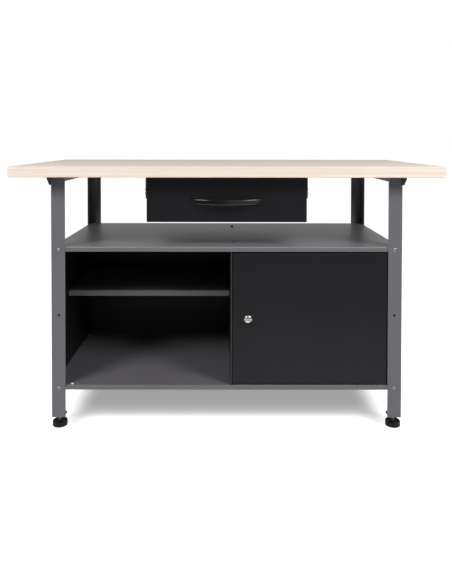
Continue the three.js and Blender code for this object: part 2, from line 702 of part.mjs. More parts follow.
// Plug that the key turns, with a tenon for the cam at its rear end.
function lockPlug() {
  const radius = PLUG_DIAMETER / 2;
  const tenon = PLUG_TENON_DIAMETER / 2;
  const front = PLUG_FRONT;
  const profile = [
    [0, front],
    [radius, front],
    [radius, LOCK_BARREL_LENGTH],
    [tenon, LOCK_BARREL_LENGTH],
    [tenon, LOCK_BARREL_LENGTH + PLUG_TENON_LENGTH],
    [0, LOCK_BARREL_LENGTH + PLUG_TENON_LENGTH],
  ];
  const slotX = KEY_BLADE_WIDTH / 2 + FIT;
  const slotZ = KEY_THICKNESS / 2 + FIT;
  const slot = boxBetween(
    [-slotX, front - LOCK_BEZEL_HEIGHT, -slotZ],
    [slotX, front + KEY_BLADE_LENGTH + FIT, slotZ],
  );
  return cut(turned(profile, AXIS_Y), slot);
}

// Cam on the plug's tenon. It points up while the door is unlocked.
function lockCam() {
  const length = CAM_REACH + CAM_WIDTH / 2;
  const outline = roundedRectangle(CAM_WIDTH, length, CAM_WIDTH / 2);
  const blank = alongY(outline, CAM_THICKNESS).translate(0, 0, length / 2 - CAM_WIDTH / 2);
  const middle = LOCK_BARREL_LENGTH + FIT + CAM_THICKNESS / 2;
  const hole = drill(PLUG_TENON_DIAMETER + 2 * FIT, 4 * CAM_THICKNESS, AXIS_Y);
  return cut(blank, hole).translate(0, middle, 0);
}

// Outline of the key's bow: round in front, with small corners at the neck on Y = 0.
function keyBow() {
  const half = KEY_BOW_WIDTH / 2;
  const corner = KEY_BOW_CORNER;
  const quarter = Math.PI / 2;
  const outline = new THREE.Shape();
  outline.absarc(0, half - KEY_BOW_LENGTH, half, 2 * quarter, 4 * quarter);
  outline.absarc(half - corner, -corner, corner, 0, quarter);
  outline.absarc(corner - half, -corner, corner, quarter, 2 * quarter);
  return outline;
}

// Flat key lying level in the plug, its bow in front of the door.
function key() {
  const half = KEY_THICKNESS / 2;
  const neckFront = PLUG_FRONT - KEY_NECK;
  const blade = boxBetween(
    [-KEY_BLADE_WIDTH / 2, neckFront - KEY_BOW_CORNER, -half],
    [KEY_BLADE_WIDTH / 2, PLUG_FRONT + KEY_BLADE_LENGTH, half],
  );
  const bow = extruded(keyBow(), KEY_THICKNESS).translate(0, neckFront, -half);
  const slotOutline = roundedRectangle(KEY_SLOT_WIDTH, KEY_SLOT_LENGTH, KEY_SLOT_LENGTH / 2);
  const slotY = neckFront - KEY_SLOT_SETBACK;
  const slot = extruded(slotOutline, 4 * KEY_THICKNESS).translate(0, slotY, -2 * KEY_THICKNESS);
  return cut(join(bow, blade), slot);
}

function addDoor(bench) {
  const door = addGroup(bench, [(DOOR_LEFT + DOOR_RIGHT) / 2, -SHEET_Y, (DOOR_BOTTOM + DOOR_TOP) / 2]);
  const lockX = LOCK_INSET - DOOR_WIDTH / 2;
  const lockZ = LOCK_HEIGHT - DOOR_HEIGHT / 2;
  addPiece(door, 'door_panel', doorPanel(lockX, lockZ), BLACK_PAINT);
  const lock = addGroup(door, [lockX, 0, lockZ]);
  addPiece(lock, 'lock_housing', lockHousing(), CHROME);
  const lockNut = nut(LOCK_NUT_ACROSS_FLATS, LOCK_NUT_HEIGHT, LOCK_BARREL_DIAMETER + 2 * FIT);
  addPiece(lock, 'lock_nut', lockNut.rotateX(-Math.PI / 2), ZINC, [0, SHEET + FIT, 0]);
  addPiece(lock, 'lock_plug', lockPlug(), CHROME);
  addPiece(lock, 'lock_cam', lockCam(), ZINC);
  addPiece(lock, 'key', key(), CHROME);
}

function drawerFront() {
  const corner = SHEET + SHEET_INNER_RADIUS;
  const pan = foldedPan(DRAWER_FRONT_WIDTH, DRAWER_FRONT_HEIGHT, DRAWER_FRONT_DEPTH, 0, corner);
  return pan.rotateX(Math.PI / 2);
}

// Drawer body, open at the top, its front lower edge on Y = 0 and Z = 0.
function drawerTray() {
  const half = SHEET / 2;
  const wall = TRAY_WIDTH / 2 - half;
  const hem = TRAY_HEIGHT - half;
  const rightLine = [[wall - TRAY_HEM, hem], [wall, hem], [wall, half]];
  const line = [...mirroredPoints(rightLine), ...rightLine.reverse()];
  const section = foldedSheet(line, SHEET, SHEET_INNER_RADIUS);
  const trough = alongY(section, TRAY_DEPTH).translate(0, TRAY_DEPTH / 2, 0);
  const ends = [SHEET, TRAY_DEPTH - 2 * SHEET].map((y) => (
    boxBetween([-wall, y, half], [wall, y + SHEET, TRAY_HEIGHT - TRAY_HEM])
  ));
  return join(trough, ...ends);
}

// Bow handle: a flat bar swept along a parabola and trimmed where its feet meet the drawer front.
function drawerHandle() {
  const span = HANDLE_LENGTH / 2;
  const peak = HANDLE_PROJECTION - HANDLE_THICKNESS / 2;
  const bow = new THREE.QuadraticBezierCurve3(
    new THREE.Vector3(-span, HANDLE_THICKNESS / 2, 0),
    new THREE.Vector3(0, -2 * peak - HANDLE_THICKNESS / 2, 0),
    new THREE.Vector3(span, HANDLE_THICKNESS / 2, 0),
  );
  const section = roundedRectangle(HANDLE_HEIGHT, HANDLE_THICKNESS, HANDLE_THICKNESS / 2);
  const settings = { steps: HANDLE_STEPS, extrudePath: bow, curveSegments: HANDLE_CORNER_STEPS };
  const bar = new THREE.ExtrudeGeometry(section, settings);
  const room = boxBetween(
    [-HANDLE_LENGTH, -2 * HANDLE_PROJECTION, -HANDLE_HEIGHT],
    [HANDLE_LENGTH, -FIT, HANDLE_HEIGHT],
  );
  return shared(bar, room);
}

// Stub axle along X: its root in the sheet at x = 0, and a riveted head beyond the roller.
function stubAxle(direction) {
  const radius = AXLE_DIAMETER / 2;
  const head = AXLE_HEAD_DIAMETER / 2;
  const reach = (SLIDE_WIDTH - SLIDE_SHEET + ROLLER_WIDTH) / 2 + FIT;
  const root = -SLIDE_SHEET / 2;
  const profile = [
    [0, root],
    [radius, root],
    [radius, reach],
    [head, reach],
    [head, reach + AXLE_HEAD_THICKNESS],
    [0, reach + AXLE_HEAD_THICKNESS],
  ];
  return turned(profile, AXIS_X.clone().multiplyScalar(direction), HOLE_SEGMENTS);
}

function roller() {
  const bore = AXLE_DIAMETER / 2 + FIT;
  const radius = ROLLER_DIAMETER / 2;
  const half = ROLLER_WIDTH / 2;
  const profile = [[bore, -half], [radius, -half], [radius, half], [bore, half], [bore, -half]];
  return turned(profile, AXIS_X);
}

// Channel on the bracket, open towards the drawer, with a roller at its front end.
function slideRail(side) {
  const half = SLIDE_SHEET / 2;
  const web = side * (SLIDE_WEB - half);
  const tip = side * SLIDE_TIP;
  const line = [
    [tip, half],
    [web, half],
    [web, SLIDE_HEIGHT - half],
    [tip, SLIDE_HEIGHT - half],
  ];
  const channel = alongY(foldedSheet(line, SLIDE_SHEET, SHEET_INNER_RADIUS), BRACKET_LENGTH);
  const axleY = ROLLER_END_DISTANCE - BRACKET_LENGTH / 2;
  const root = side * (SLIDE_WEB - SLIDE_SHEET);
  const axle = stubAxle(-side).translate(root, axleY, RAIL_ROLLER_Z - BRACKET_BOTTOM);
  return join(channel, axle);
}

// Angle on the drawer's side: its flange runs on the rail's roller, its own roller runs in the rail.
function drawerRunner(side) {
  const half = SLIDE_SHEET / 2;
  const web = side * (RUNNER_WEB - half);
  const flangeTip = side * (SLIDE_WEB - SLIDE_SHEET - RUNNING_PLAY);
  const line = [[web, -RUNNER_DROP], [web, -half], [flangeTip, -half]];
  const angle = alongY(foldedSheet(line, SLIDE_SHEET, FIT), RUNNER_LENGTH);
  const axleY = RUNNER_LENGTH / 2 - ROLLER_END_DISTANCE;
  const axle = stubAxle(side).translate(side * RUNNER_WEB, axleY, RUNNER_ROLLER_Z - RUNNER_TOP);
  return join(angle, axle);
}

// Angle bracket under the worktop that carries one slide rail.
function drawerBracket(side) {
  const half = SLIDE_SHEET / 2;
  const web = side * (BRACKET_SPAN / 2 - half);
  const head = BRACKET_HEIGHT - half;
  const line = [[web + side * BRACKET_FLANGE, head], [web, head], [web, 0]];
  return alongY(foldedSheet(line, SLIDE_SHEET, SHEET_INNER_RADIUS), BRACKET_LENGTH);
}

function addDrawer(bench) {
  const bracket = addGroup(bench, [0, BRACKET_FRONT + BRACKET_LENGTH / 2, BRACKET_BOTTOM]);
  const drawer = addGroup(bench, [0, FRAME_FRONT, DRAWER_FRONT_BOTTOM]);
  const runnerY = TRAY_FRONT - FRAME_FRONT + RUNNER_LENGTH / 2;
  const runner = addGroup(drawer, [0, runnerY, RUNNER_TOP - DRAWER_FRONT_BOTTOM]);
  const railRollerY = ROLLER_END_DISTANCE - BRACKET_LENGTH / 2;
  const runnerRollerY = RUNNER_LENGTH / 2 - ROLLER_END_DISTANCE;
  for (const [name, side] of SIDES) {
    const railRoller = [side * RAIL_ROLLER_X, railRollerY, RAIL_ROLLER_Z - BRACKET_BOTTOM];
    const runnerRoller = [side * RUNNER_ROLLER_X, runnerRollerY, RUNNER_ROLLER_Z - RUNNER_TOP];
    addPiece(bracket, `drawer_bracket_${name}`, drawerBracket(side), BLACK_PAINT);
    addPiece(bracket, `slide_rail_${name}`, slideRail(side), ZINC);
    addPiece(bracket, `rail_roller_${name}`, roller(), WHITE_PLASTIC, railRoller);
    addPiece(runner, `drawer_runner_${name}`, drawerRunner(side), ZINC);
    addPiece(runner, `runner_roller_${name}`, roller(), WHITE_PLASTIC, runnerRoller);
  }
  addPiece(drawer, 'drawer_front', drawerFront(), BLACK_PAINT, [0, 0, DRAWER_FRONT_HEIGHT / 2]);
  addPiece(drawer, 'drawer_tray', drawerTray(), BLACK_PAINT, [0, DRAWER_FRONT_DEPTH + FIT, TRAY_RAISE]);
  addPiece(drawer, 'drawer_handle', drawerHandle(), BLACK_PLASTIC, [0, 0, HANDLE_CENTRE_HEIGHT]);
}

const workbench = new THREE.Group();
workbench.name = 'workbench';
addPiece(workbench, 'worktop', worktop(), WOOD, [0, 0, WORKTOP_UNDERSIDE]);
for (const [sideName, side] of SIDES) {
  addPiece(workbench, `top_rail_${sideName}`, topRail(side), GREY_PAINT, [0, 0, RAIL_TOP]);
  addPiece(workbench, `side_panel_${sideName}`, sidePanel(side), BLACK_PAINT, [0, 0, CABINET_BOTTOM]);
  for (const [endName, end] of ENDS) {
    addCorner(workbench, endName, end, sideName, side);
  }
}
addPiece(workbench, 'middle_shelf', middleShelf(), GREY_PAINT, [0, 0, MIDDLE_SHELF_TOP]);
addPiece(workbench, 'bottom_shelf', bottomShelf(), GREY_PAINT, [0, 0, BOTTOM_SHELF_TOP]);
addInnerShelf(workbench);
addPartition(workbench);
addPiece(workbench, 'back_panel', backPanel(), BLACK_PAINT, [0, 0, CABINET_BOTTOM]);
addPiece(workbench, 'hinge_pin_lower', lowerHingePin(), ZINC, [HINGE_X, HINGE_Y, BOTTOM_SHELF_TOP]);
addPiece(workbench, 'hinge_pin_upper', upperHingePin(), ZINC, [HINGE_X, HINGE_Y, MIDDLE_LIP_BOTTOM]);
addDoor(workbench);
addDrawer(workbench);

export default workbench;
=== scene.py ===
# Steel workbench with a wooden worktop, a drawer, an open compartment and a lockable cabinet.
# Its finishes, its fasteners and its finer shapes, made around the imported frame. Metres, +Z up.
import json
import math

import bmesh
import bpy
from mathutils import Matrix, Vector


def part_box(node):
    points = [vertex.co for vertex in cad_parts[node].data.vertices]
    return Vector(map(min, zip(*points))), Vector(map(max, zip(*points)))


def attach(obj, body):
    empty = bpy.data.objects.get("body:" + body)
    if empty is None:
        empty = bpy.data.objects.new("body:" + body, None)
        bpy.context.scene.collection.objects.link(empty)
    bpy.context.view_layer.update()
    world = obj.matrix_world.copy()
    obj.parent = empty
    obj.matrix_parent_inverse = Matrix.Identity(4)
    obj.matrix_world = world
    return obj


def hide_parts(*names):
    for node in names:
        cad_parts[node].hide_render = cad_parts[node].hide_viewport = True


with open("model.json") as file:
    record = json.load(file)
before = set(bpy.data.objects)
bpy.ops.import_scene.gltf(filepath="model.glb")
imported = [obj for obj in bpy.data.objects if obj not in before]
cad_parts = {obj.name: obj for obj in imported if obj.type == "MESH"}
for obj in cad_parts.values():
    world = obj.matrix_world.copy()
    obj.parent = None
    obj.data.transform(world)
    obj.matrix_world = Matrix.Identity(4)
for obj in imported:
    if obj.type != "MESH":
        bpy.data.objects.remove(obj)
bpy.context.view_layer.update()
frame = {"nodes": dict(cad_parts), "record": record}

MM = 0.001
WELD = 0.002 * MM
NEAR = 0.1 * MM
FLAT = math.radians(0.4)
FOLD_ANGLE = math.radians(50)
SMOOTH_ANGLE = math.radians(42)
ROUND_STEPS = 40
DRIVE_STEPS = 24

# Attribute that says how much paler the paint is drawn, from 0 to 1: a painted highlight
HIGHLIGHT_ATTRIBUTE = "painted_highlight"

# Width of the rounded rims by finish, in millimetres
RIM = {"grey_paint": 0.3, "black_paint": 0.25, "zinc": 0.3, "chrome": 0.3, "black_plastic": 0.4,
       "white_plastic": 0.8}

UP = Vector((0, 0, 1))
DOWN = -UP
RIGHT = Vector((1, 0, 0))
FRONT = Vector((0, -1, 0))
REAR = -FRONT

BODY_OF = {node: body for body, nodes in frame["record"]["behaviour"]["bodies"].items() for node in nodes}
SLOT_OF = {part["node"]: part["material_slot"] for part in frame["record"]["subparts"]}
CORNERS = ("front_left", "front_right", "rear_left", "rear_right")
LEFT_AND_RIGHT = (-1, 1)


# Finishes

def linear(code):
    """Linear colour of an sRGB hex value."""
    parts = [int(code[i:i + 2], 16) / 255 for i in (1, 3, 5)]
    return [p / 12.92 if p <= 0.04045 else ((p + 0.055) / 1.055) ** 2.4 for p in parts] + [1.0]


def per_mm(size):
    """Texture scale at which one feature measures that many millimetres."""
    return 1 / (size * MM)


def add(tree, kind, sockets, **settings):
    """Adds a node. Its sockets, by name or number, take a plain value or the output of another node."""
    made = tree.nodes.new(kind)
    for name, value in settings.items():
        setattr(made, name, value)
    for name, value in sockets.items():
        if isinstance(value, bpy.types.NodeSocket):
            tree.links.new(value, made.inputs[name])
        else:
            made.inputs[name].default_value = value
    return made


def new_finish(name):
    """An empty material, with the piece's own coordinates in metres."""
    material = bpy.data.materials.new(name)
    material.use_nodes = True
    tree = material.node_tree
    tree.nodes.clear()
    place = add(tree, "ShaderNodeTexCoord", {}).outputs["Object"]
    return material, tree, place


def close_finish(tree, sockets):
    """Ends a material with a shader that has these sockets."""
    shader = add(tree, "ShaderNodeBsdfPrincipled", sockets)
    add(tree, "ShaderNodeOutputMaterial", {"Surface": shader.outputs["BSDF"]})


def mottled(tree, place, size, one, other, detail=3.0):
    """Soft patches of two close colours, each patch about that many millimetres wide."""
    patches = add(tree, "ShaderNodeTexNoise", {"Vector": place, "Scale": per_mm(size), "Detail": detail})
    spread = add(tree, "ShaderNodeMapRange",
                 {"Value": patches.outputs["Fac"], "From Min": 0.3, "From Max": 0.7})
    colours = {0: spread.outputs["Result"], 6: linear(one), 7: linear(other)}
    return add(tree, "ShaderNodeMix", colours, data_type="RGBA").outputs[2]


def grained(tree, place, size, height):
    """Bump of a fine grain: its width and its height in millimetres."""
    grain = add(tree, "ShaderNodeTexNoise", {"Vector": place, "Scale": per_mm(size), "Detail": 2.0})
    bump = {"Height": grain.outputs["Fac"], "Strength": 1.0, "Distance": height * MM}
    return add(tree, "ShaderNodeBump", bump).outputs["Normal"]


def powder_coat(name, one, other, painted_highlight, roughness, specular):
    """Powder coat baked on sheet steel: satin, with a shallow orange peel and a faint mottle, and
    paler along marked folds and edges, a painted highlight. The peel of about 1 mm is drawn 1.8 mm wide, so
    that it shows."""
    material, tree, place = new_finish(name)
    highlight = add(tree, "ShaderNodeAttribute", {}, attribute_name=HIGHLIGHT_ATTRIBUTE).outputs["Fac"]
    paint = {0: highlight, 6: mottled(tree, place, 160, one, other), 7: linear(painted_highlight)}
    close_finish(tree, {
        "Base Color": add(tree, "ShaderNodeMix", paint, data_type="RGBA").outputs[2],
        "Roughness": roughness,
        "Specular IOR Level": specular,
        "Normal": grained(tree, place, 1.8, 0.03),
    })
    return material


def pale_board():
    """Sealed pale wood: long fine grain along the board, a little darker in streaks, satin."""
    material, tree, place = new_finish("sealed_pale_wood")
    streak_width, fibre_width = 9, 2.2
    long_grain = (0.012, 1, 1)
    along = add(tree, "ShaderNodeMapping", {"Vector": place, "Scale": long_grain}).outputs["Vector"]
    streaks = mottled(tree, along, streak_width, "#ede0d5", "#e5d4c6", detail=4.0)
    fibres = add(tree, "ShaderNodeTexNoise",
                 {"Vector": along, "Scale": per_mm(fibre_width), "Detail": 3.0}).outputs["Fac"]
    lines = add(tree, "ShaderNodeMapRange",
                {"Value": fibres, "From Min": 0.56, "From Max": 0.72, "To Max": 0.35})
    dark = {0: lines.outputs["Result"], 6: streaks, 7: linear("#d4b9a2")}
    bump = {"Height": fibres, "Strength": 1.0, "Distance": 0.03 * MM}
    close_finish(tree, {
        "Base Color": add(tree, "ShaderNodeMix", dark, data_type="RGBA").outputs[2],
        "Roughness": 0.5,
        "Specular IOR Level": 0.35,
        "Normal": add(tree, "ShaderNodeBump", bump).outputs["Normal"],
    })
    return material


def plated(name, one, other, roughness, grain):
    """Plated steel: a metal with slightly uneven brightness and a grain of that many millimetres."""
    material, tree, place = new_finish(name)
    close_finish(tree, {
        "Base Color": mottled(tree, place, 6, one, other),
        "Metallic": 1.0,
        "Roughness": roughness,
        "Normal": grained(tree, place, grain, 0.006),
    })
    return material


def moulded(name, one, other, roughness, specular):
    """Moulded plastic: even colour, with the fine spark-eroded grain of its mould."""
    material, tree, place = new_finish(name)
    close_finish(tree, {
        "Base Color": mottled(tree, place, 20, one, other),
        "Roughness": roughness,
        "Specular IOR Level": specular,
        "Normal": grained(tree, place, 0.8, 0.012),
    })
    return material


FINISHES = {
    "wood_board": pale_board(),
    # Graphite grey: a soft, wide sheen and no mirror images; its third colour, paler, is a painted highlight
    # along marked folds
    "grey_paint": powder_coat("graphite_powder_coat", "#69676b", "#656367", "#858388",
                              roughness=0.44, specular=0.17),
    # Black: as satin as the grey, with a thin sheen; its third colour, paler, is a painted highlight along
    # marked edges
    "black_paint": powder_coat("black_powder_coat", "#19181b", "#171619", "#464548",
                               roughness=0.4, specular=0.15),
    # Zinc: a pale grey metal with broken, soft mirror images
    "zinc": plated("bright_zinc_plate", "#adacac", "#9a9999", roughness=0.32, grain=0.9),
    # Chrome: clear mirror images that ripple a little
    "chrome": plated("polished_chrome", "#e4e4e5", "#dbdcde", roughness=0.18, grain=3.0),
    # Polyamide: a dull, deep black
    "black_plastic": moulded("black_polyamide", "#111112", "#151516", roughness=0.55, specular=0.15),
    # Nylon: a milky white with a soft shine
    "white_plastic": moulded("white_nylon", "#eeece6", "#e6e3dc", roughness=0.42, specular=0.4),
}
# The handle's polished mould gives it narrow, sharp gleams.
GLOSSY_PLASTIC = moulded("glossy_black_plastic", "#0f0f10", "#121213", roughness=0.2, specular=0.5)
# Tumbling leaves the key's nickel bright but too rough for mirror images.
NICKEL = plated("tumbled_nickel", "#e6e5e2", "#dddcd9", roughness=0.6, grain=1.2)


# Shapes

def show(shape, name, body, slot, *nodes, edge=0.0, finish=None):
    """Turns a shape into a piece on a body, with its edges rounded, in place of the nodes it stands for."""
    mesh = bpy.data.meshes.new(name)
    shape.to_mesh(mesh)
    shape.free()
    mesh.shade_smooth()
    mesh.set_sharp_from_angle(angle=SMOOTH_ANGLE)
    mesh.materials.clear()
    mesh.materials.append(finish or FINISHES[slot])
    piece = bpy.data.objects.new(name, mesh)
    bpy.context.scene.collection.objects.link(piece)
    if edge:
        rim = piece.modifiers.new("rounded_edges", "BEVEL")
        rim.width = edge * MM
        rim.segments = 2
        rim.limit_method = "ANGLE"
        rim.angle_limit = FOLD_ANGLE
    even = piece.modifiers.new("even_shading", "WEIGHTED_NORMAL")
    even.keep_sharp = True
    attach(piece, body)
    if nodes:
        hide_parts(*nodes)


def whole(shape):
    return shape.verts[:] + shape.edges[:] + shape.faces[:]


def join_flat_faces(shape):
    bmesh.ops.dissolve_limit(shape, angle_limit=FLAT, verts=shape.verts, edges=shape.edges)


def fill_open_ends(shape):
    bmesh.ops.holes_fill(shape, edges=[e for e in shape.edges if e.is_boundary])


def move_new_part(shape, made, way):
    """Moves what an extrusion made."""
    bmesh.ops.translate(shape, vec=way, verts=[v for v in made if isinstance(v, bmesh.types.BMVert)])


def turn_outwards(shape):
    """Makes all the faces of a closed shape point outwards."""
    bmesh.ops.recalc_face_normals(shape, faces=shape.faces)
    if shape.calc_volume(signed=True) < 0:
        bmesh.ops.reverse_faces(shape, faces=shape.faces)


def round_edges(shape, geom, offset, segments, affect="EDGES"):
    """Rounds edges or corners of a shape, by an offset in millimetres."""
    bmesh.ops.bevel(shape, geom=geom, offset=offset * MM, offset_type="OFFSET", segments=segments,
                    profile=0.5, affect=affect, material=-1)


def welded(node):
    """A closed copy of a node's solid, with whole faces in place of its loose triangles."""
    shape = bmesh.new()
    shape.from_mesh(frame["nodes"][node].data)
    bmesh.ops.remove_doubles(shape, verts=shape.verts, dist=WELD)
    join_flat_faces(shape)
    return shape


def close_gaps(shape, gap):
    """Makes an upright panel reach that many millimetres further at its foot and its top."""
    heights = [v.co.z for v in shape.verts]
    middle = (min(heights) + max(heights)) / 2
    for vert in shape.verts:
        vert.co.z += gap * MM if vert.co.z > middle else -gap * MM


def round_front_bend(shape, small, large, painted_highlight):
    """Gives the fold between a shelf's top and its front lip a larger outer radius, in millimetres,
    and marks how much paler its paint is drawn there, a painted highlight along the fold."""
    highlight = shape.verts.layers.float.new(HIGHLIGHT_ATTRIBUTE)
    front = min(v.co.y for v in shape.verts)
    top = max(v.co.z for v in shape.verts)
    centre = small * MM
    for vert in shape.verts:
        back, down = vert.co.y - front, top - vert.co.z
        outside = math.hypot(centre - back, centre - down) > centre - NEAR
        if outside and max(back, down) < centre + NEAR:
            vert.co.y = front + back * large / small
            vert.co.z = top - down * large / small
            if min(back, down) > NEAR:
                vert[highlight] = painted_highlight


def paint_front_edge_highlight(shape):
    """Marks a painted highlight, paler paint, on the edge of sheet that faces the front."""
    highlight = shape.faces.layers.float.new(HIGHLIGHT_ATTRIBUTE)
    front = min(v.co.y for v in shape.verts)
    for face in shape.faces:
        if face.normal.dot(FRONT) > 0.99 and face.calc_center_median().y < front + NEAR:
            face[highlight] = 1.0


def facing(point, direction):
    """Places a shape whose own up is +Z at a point, turned to that direction."""
    return Matrix.Translation(point) @ UP.rotation_difference(direction).to_matrix().to_4x4()


def line_of(shape, points, closed=False):
    """Draws a line through points in millimetres."""
    verts = [shape.verts.new(Vector(point) * MM) for point in points]
    edges = [shape.edges.new(pair) for pair in zip(verts, verts[1:])]
    if closed:
        edges.append(shape.edges.new((verts[-1], verts[0])))
    return verts, edges


def turned(profile, steps=ROUND_STEPS, closed=False):
    """A round shape about Z, from [radius, height] points in millimetres."""
    shape = bmesh.new()
    verts, edges = line_of(shape, [(r, 0, h) for r, h in profile], closed)
    bmesh.ops.spin(shape, geom=verts + edges, axis=UP, angle=2 * math.pi, steps=steps, use_merge=True)
    bmesh.ops.remove_doubles(shape, verts=shape.verts, dist=WELD)
    turn_outwards(shape)
    return shape


def dome(radius, height, low=0.0, steps=6):
    """Profile points of a low dome, from its rim inwards to that share of its radius."""
    angles = [math.acos(1 - (1 - low) * i / steps) for i in range(steps + 1)]
    return [(radius * math.cos(a), height * math.sin(a)) for a in angles]


def repeated(unit, places):
    """Copies of a small shape, one at each place, in one shape."""
    mesh = bpy.data.meshes.new("unit")
    unit.to_mesh(mesh)
    unit.free()
    shape = bmesh.new()
    for place in places:
        count = len(shape.verts)
        shape.from_mesh(mesh)
        shape.verts.ensure_lookup_table()
        bmesh.ops.transform(shape, matrix=place, verts=shape.verts[count:])
    bpy.data.meshes.remove(mesh)
    return shape


def screw(head, height, shank, length, recess, sink):
    """Screw with a domed head. Its seat lies on Z = 0, its head faces up, and recess outlines its drive."""
    rim, core = head / 2, shank / 2
    chamfer = [(core - 0.4, -length), (core, 0.6 - length)]
    profile = [(0, -length), *chamfer, (core, 0), (rim, 0)]
    profile += [(r, 0.25 * height + 0.75 * h) for r, h in dome(rim, height, 0.55)]
    shape = turned(profile, DRIVE_STEPS)
    brim = [e for e in shape.edges if e.is_boundary]
    _, drive = line_of(shape, [(x, y, 0.95 * height) for x, y in recess], closed=True)
    bmesh.ops.subdivide_edges(shape, edges=drive, cuts=DRIVE_STEPS // len(recess) - 1)
    drive = [e for e in shape.edges if not e.link_faces]
    bmesh.ops.bridge_loops(shape, edges=brim + drive)
    mouth = [e for e in shape.edges if e.is_boundary]
    move_new_part(shape, bmesh.ops.extrude_edge_only(shape, edges=mouth)["geom"], DOWN * sink * MM)
    fill_open_ends(shape)
    turn_outwards(shape)
    return shape


def hexagon(across):
    """Corners of a hexagon, by its width across the flats."""
    radius = across / math.sqrt(3)
    return [(radius * math.cos(i * math.pi / 3), radius * math.sin(i * math.pi / 3)) for i in range(6)]


def cross(width, arm):
    """Corners of a cross, by its width and by the width of its arms."""
    w, a = width / 2, arm / 2
    return [(w, -a), (w, a), (a, a), (a, w), (-a, w), (-a, a),
            (-w, a), (-w, -a), (-a, -a), (-a, -w), (a, -w), (a, -a)]


def m6_bolt(length):
    """Bolt with a domed head and a hexagon socket."""
    return screw(head=10.4, height=3.4, shank=6, length=length, recess=hexagon(5), sink=5)


def cross_screw(head, height, length, sink):
    """Thin screw with a cross drive."""
    return screw(head, height, shank=4, length=length, recess=cross(4, 1.1), sink=sink)


def rivet(head, height):
    """Domed rivet head, its seat on Z = 0."""
    return turned([(0, -0.5), (head / 2, -0.5), *dome(head / 2, height)], 20)


def m6_nut():
    """Hexagonal nut standing on Z = 0."""
    across, height, bore = 10, 5, 6.1
    shape = bmesh.new()
    _, rim = line_of(shape, [(x, y, 0) for x, y in hexagon(across)], closed=True)
    bmesh.ops.subdivide_edges(shape, edges=rim, cuts=DRIVE_STEPS // 6 - 1)
    bmesh.ops.create_circle(shape, segments=DRIVE_STEPS, radius=bore / 2 * MM)
    bmesh.ops.bridge_loops(shape, edges=shape.edges[:])
    move_new_part(shape, bmesh.ops.extrude_face_region(shape, geom=shape.faces[:])["geom"], UP * height * MM)
    turn_outwards(shape)
    return shape


def threaded(radius, low, high, pitch):
    """Threaded stem along Z: a core with chamfered ends and a ridge wound round it."""
    root = radius - 0.6 * pitch
    shape = turned([(0, low), (root - 0.6, low), (root, low + 0.8),
                    (root, high - 0.8), (root - 0.6, high), (0, high)], 20)
    steps = 14
    turns = int((high - low - 3) / pitch)
    ridge = [(root - 0.2, -0.45), (radius, -0.08), (radius, 0.08), (root - 0.2, 0.45)]
    verts, edges = line_of(shape, [(r, 0, low + 1.5 + h * pitch) for r, h in ridge], closed=True)
    bmesh.ops.spin(shape, geom=verts + edges, axis=UP, dvec=UP * pitch / steps * MM,
                   angle=2 * math.pi * turns, steps=steps * turns)
    fill_open_ends(shape)
    turn_outwards(shape)
    return shape


# Worktop

def add_worktop():
    low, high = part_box("worktop")
    shape = bmesh.new()
    bmesh.ops.create_cube(shape, size=1)
    bmesh.ops.scale(shape, vec=high - low, verts=shape.verts)
    bmesh.ops.translate(shape, vec=(low + high) / 2, verts=shape.verts)
    round_edges(shape, shape.edges[:], 1.5, 3)
    show(shape, "worktop_board", "frame", "wood_board", "worktop")


# Drawer handle: a bar with rounded edges, bowed round an upright axis, its ends tapering upwards

def add_handle():
    low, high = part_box("drawer_handle")
    middle = (low + high) / 2
    thick = 7 * MM
    span = (high.x - low.x) / 2
    rise = high.y - low.y - thick / 2
    radius = (span ** 2 + rise ** 2) / (2 * rise)
    centre = Vector((middle.x, low.y + thick / 2 + radius, middle.z))
    shape = bmesh.new()
    bar = bmesh.ops.create_grid(shape, x_segments=1, y_segments=1, size=0.5)["verts"]
    bmesh.ops.scale(shape, vec=(thick, high.z - low.z, 1), verts=bar)
    round_edges(shape, shape.verts[:], 3.4, 6, affect="VERTICES")
    upright = Matrix(((0, 0, 1), (1, 0, 0), (0, 1, 0))).to_4x4()
    half_turn = math.asin(span / radius) + math.radians(2)
    bmesh.ops.transform(shape, matrix=upright, verts=shape.verts)
    bmesh.ops.translate(shape, vec=centre + FRONT * radius, verts=shape.verts)
    bmesh.ops.rotate(shape, cent=centre, matrix=Matrix.Rotation(-half_turn, 3, "Z"), verts=shape.verts)
    bmesh.ops.spin(shape, geom=whole(shape), cent=centre, axis=UP, angle=2 * half_turn, steps=48)
    bmesh.ops.bisect_plane(shape, geom=whole(shape), plane_co=(0, high.y, 0), plane_no=REAR,
                           clear_outer=True)
    tip, thinning = 0.2, 0.7
    for vert in shape.verts:
        left = 1 - abs(vert.co.x - middle.x) / span
        if left < tip:
            vert.co.z = high.z - (high.z - vert.co.z) * (1 - thinning * (1 - left / tip) ** 2)
    fill_open_ends(shape)
    bmesh.ops.remove_doubles(shape, verts=shape.verts, dist=WELD)
    turn_outwards(shape)
    show(shape, "bow_handle", "drawer", "black_plastic", "drawer_handle", finish=GLOSSY_PLASTIC)


# Levelling feet: an M8 stem in a round pad with a hollow rim

STEM_RADIUS = 4.0
STEM_PITCH = 1.25
PAD_PROFILE = [(0, 0), (20, 0), (20.6, 0.3), (21, 1), (21, 12.6), (20.7, 13.5), (19.9, 14), (17.8, 14),
               (17.2, 13.6), (16.6, 10.4), (16, 10), (8.6, 10), (8.1, 10.4), (7.8, 13.4), (7.2, 14),
               (4.7, 14), (4.3, 13.6), (4.3, 6), (0, 6)]


